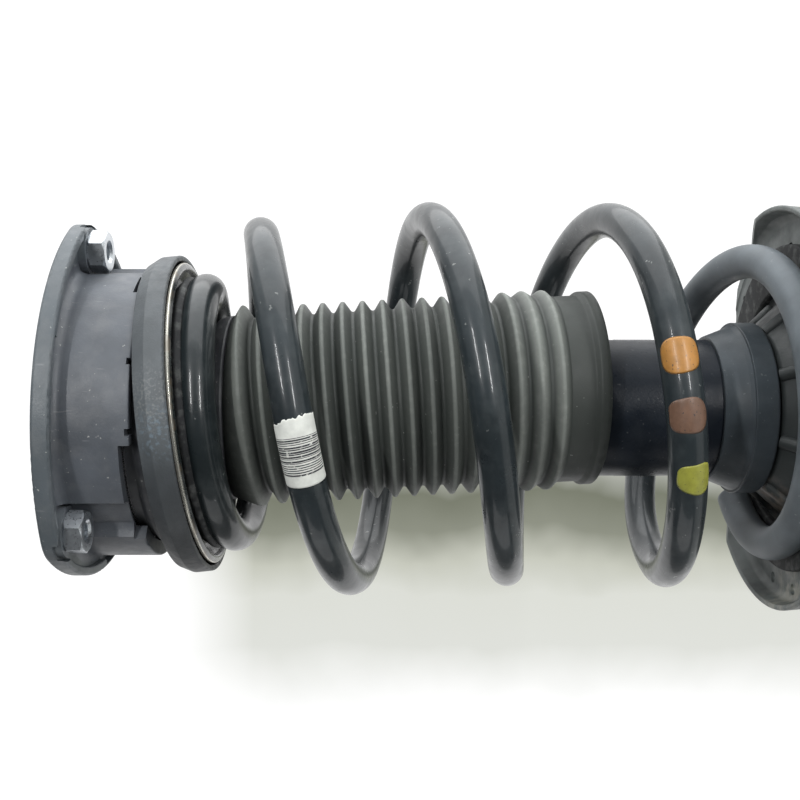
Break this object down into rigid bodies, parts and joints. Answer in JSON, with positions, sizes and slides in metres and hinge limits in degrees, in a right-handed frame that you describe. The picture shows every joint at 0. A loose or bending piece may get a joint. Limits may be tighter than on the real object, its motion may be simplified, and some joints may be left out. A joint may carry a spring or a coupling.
{
  "type": "front suspension strut",
  "caption": "Suspension strut with a bolt-on top mount, inclined strut bearing, barrel-shaped side-load coil spring, pleated dust boot and a telescopic damper with a clamp end.",
  "frame": {"origin": "centre of the mount's outer face, on the piston rod's axis", "axes": "+Z along the piston rod towards the vehicle body; +X towards the side where the spring seat sits high"},
  "size_m": [0.1561, 0.1525, 0.49],
  "materials": {
    "mount_black": "satin black, dusty",
    "zinc": "bright zinc plate",
    "black_rubber": "matt",
    "bare_steel": "phosphated",
    "bearing_steel": "ground",
    "ball_steel": "polished",
    "cage_plastic": "natural nylon",
    "collar_plastic": "moulded black",
    "cover_plastic": "moulded grey, worn",
    "seat_gloss_black": "gloss black with a bright rim",
    "spring_black": "gloss powder coat, scuffed",
    "label_paper": "printed label",
    "mark_orange": "paint mark",
    "mark_brown": "paint mark",
    "mark_yellow": "paint mark",
    "boot_rubber": "matt grey-green, dusty",
    "bump_foam": "foamed polyurethane",
    "rod_chrome": "hard chrome",
    "sintered_steel": "sintered",
    "piston_ptfe": "filled ptfe",
    "seal_rubber": "nitrile",
    "tube_black": "satin black",
    "sleeve_plastic": "moulded black",
    "sleeve_collar_plastic": "moulded dark grey",
    "seat_black": "satin black, dusty and scuffed"
  },
  "bodies": {
    "top_mount": {"mount_housing": "mount_black", "mount_nuts": "zinc", "mount_rubber": "black_rubber", "mount_core": "bare_steel", "rod_nut": "zinc", "rebound_washer": "bare_steel", "bearing_upper_race": "bearing_steel", "dust_boot": "boot_rubber", "boot_top_ring": "collar_plastic", "bump_stop_cup": "bare_steel", "bump_stop": "bump_foam", "piston_rod": "rod_chrome", "rebound_stop": "bare_steel", "piston": "sintered_steel", "piston_band": "piston_ptfe", "piston_nut": "zinc"},
    "bearing_cage": {"bearing_balls": "ball_steel", "ball_cage": "cage_plastic"},
    "spring_carrier": {"bearing_lower_race": "bearing_steel", "bearing_collar": "collar_plastic", "bearing_cover_ring": "cover_plastic", "upper_spring_seat": "seat_gloss_black", "upper_isolator": "black_rubber", "coil_spring": "spring_black"},
    "damper_tube": {"strut_tube": "tube_black", "tube_cap": "bare_steel", "rod_guide": "sintered_steel", "rod_seal": "seal_rubber", "working_cylinder": "bare_steel", "base_valve": "sintered_steel", "bottom_cap": "tube_black", "guard_sleeve": "sleeve_plastic", "sleeve_collar": "sleeve_collar_plastic", "lower_spring_seat": "seat_black", "lower_isolator": "black_rubber", "link_bracket": "tube_black", "hose_bracket": "tube_black", "locating_tab": "tube_black"}
  },
  "joints": [
    {"name": "steering_swivel", "type": "hinge", "parent": "top_mount", "child": "spring_carrier", "pos_m": [0, 0, -0.0205], "axis": [0, 0, 1], "range_deg": [-38, 38]},
    {"name": "cage_roll", "type": "hinge", "parent": "top_mount", "child": "bearing_cage", "pos_m": [0, 0, -0.0205], "axis": [0, 0, 1], "range_deg": [-19, 19]},
    {"name": "strut_stroke", "type": "slide", "parent": "spring_carrier", "child": "damper_tube", "axis": [0, 0, 1], "range_m": [0, 0.105], "stiffness_N_per_m": 28000, "springref_m": -0.03, "deforming": ["coil_spring", "dust_boot", "bump_stop"]}
  ],
  "couplings": [
    {"joint": "cage_roll", "follows": "steering_swivel", "ratio": 0.5}
  ]
}
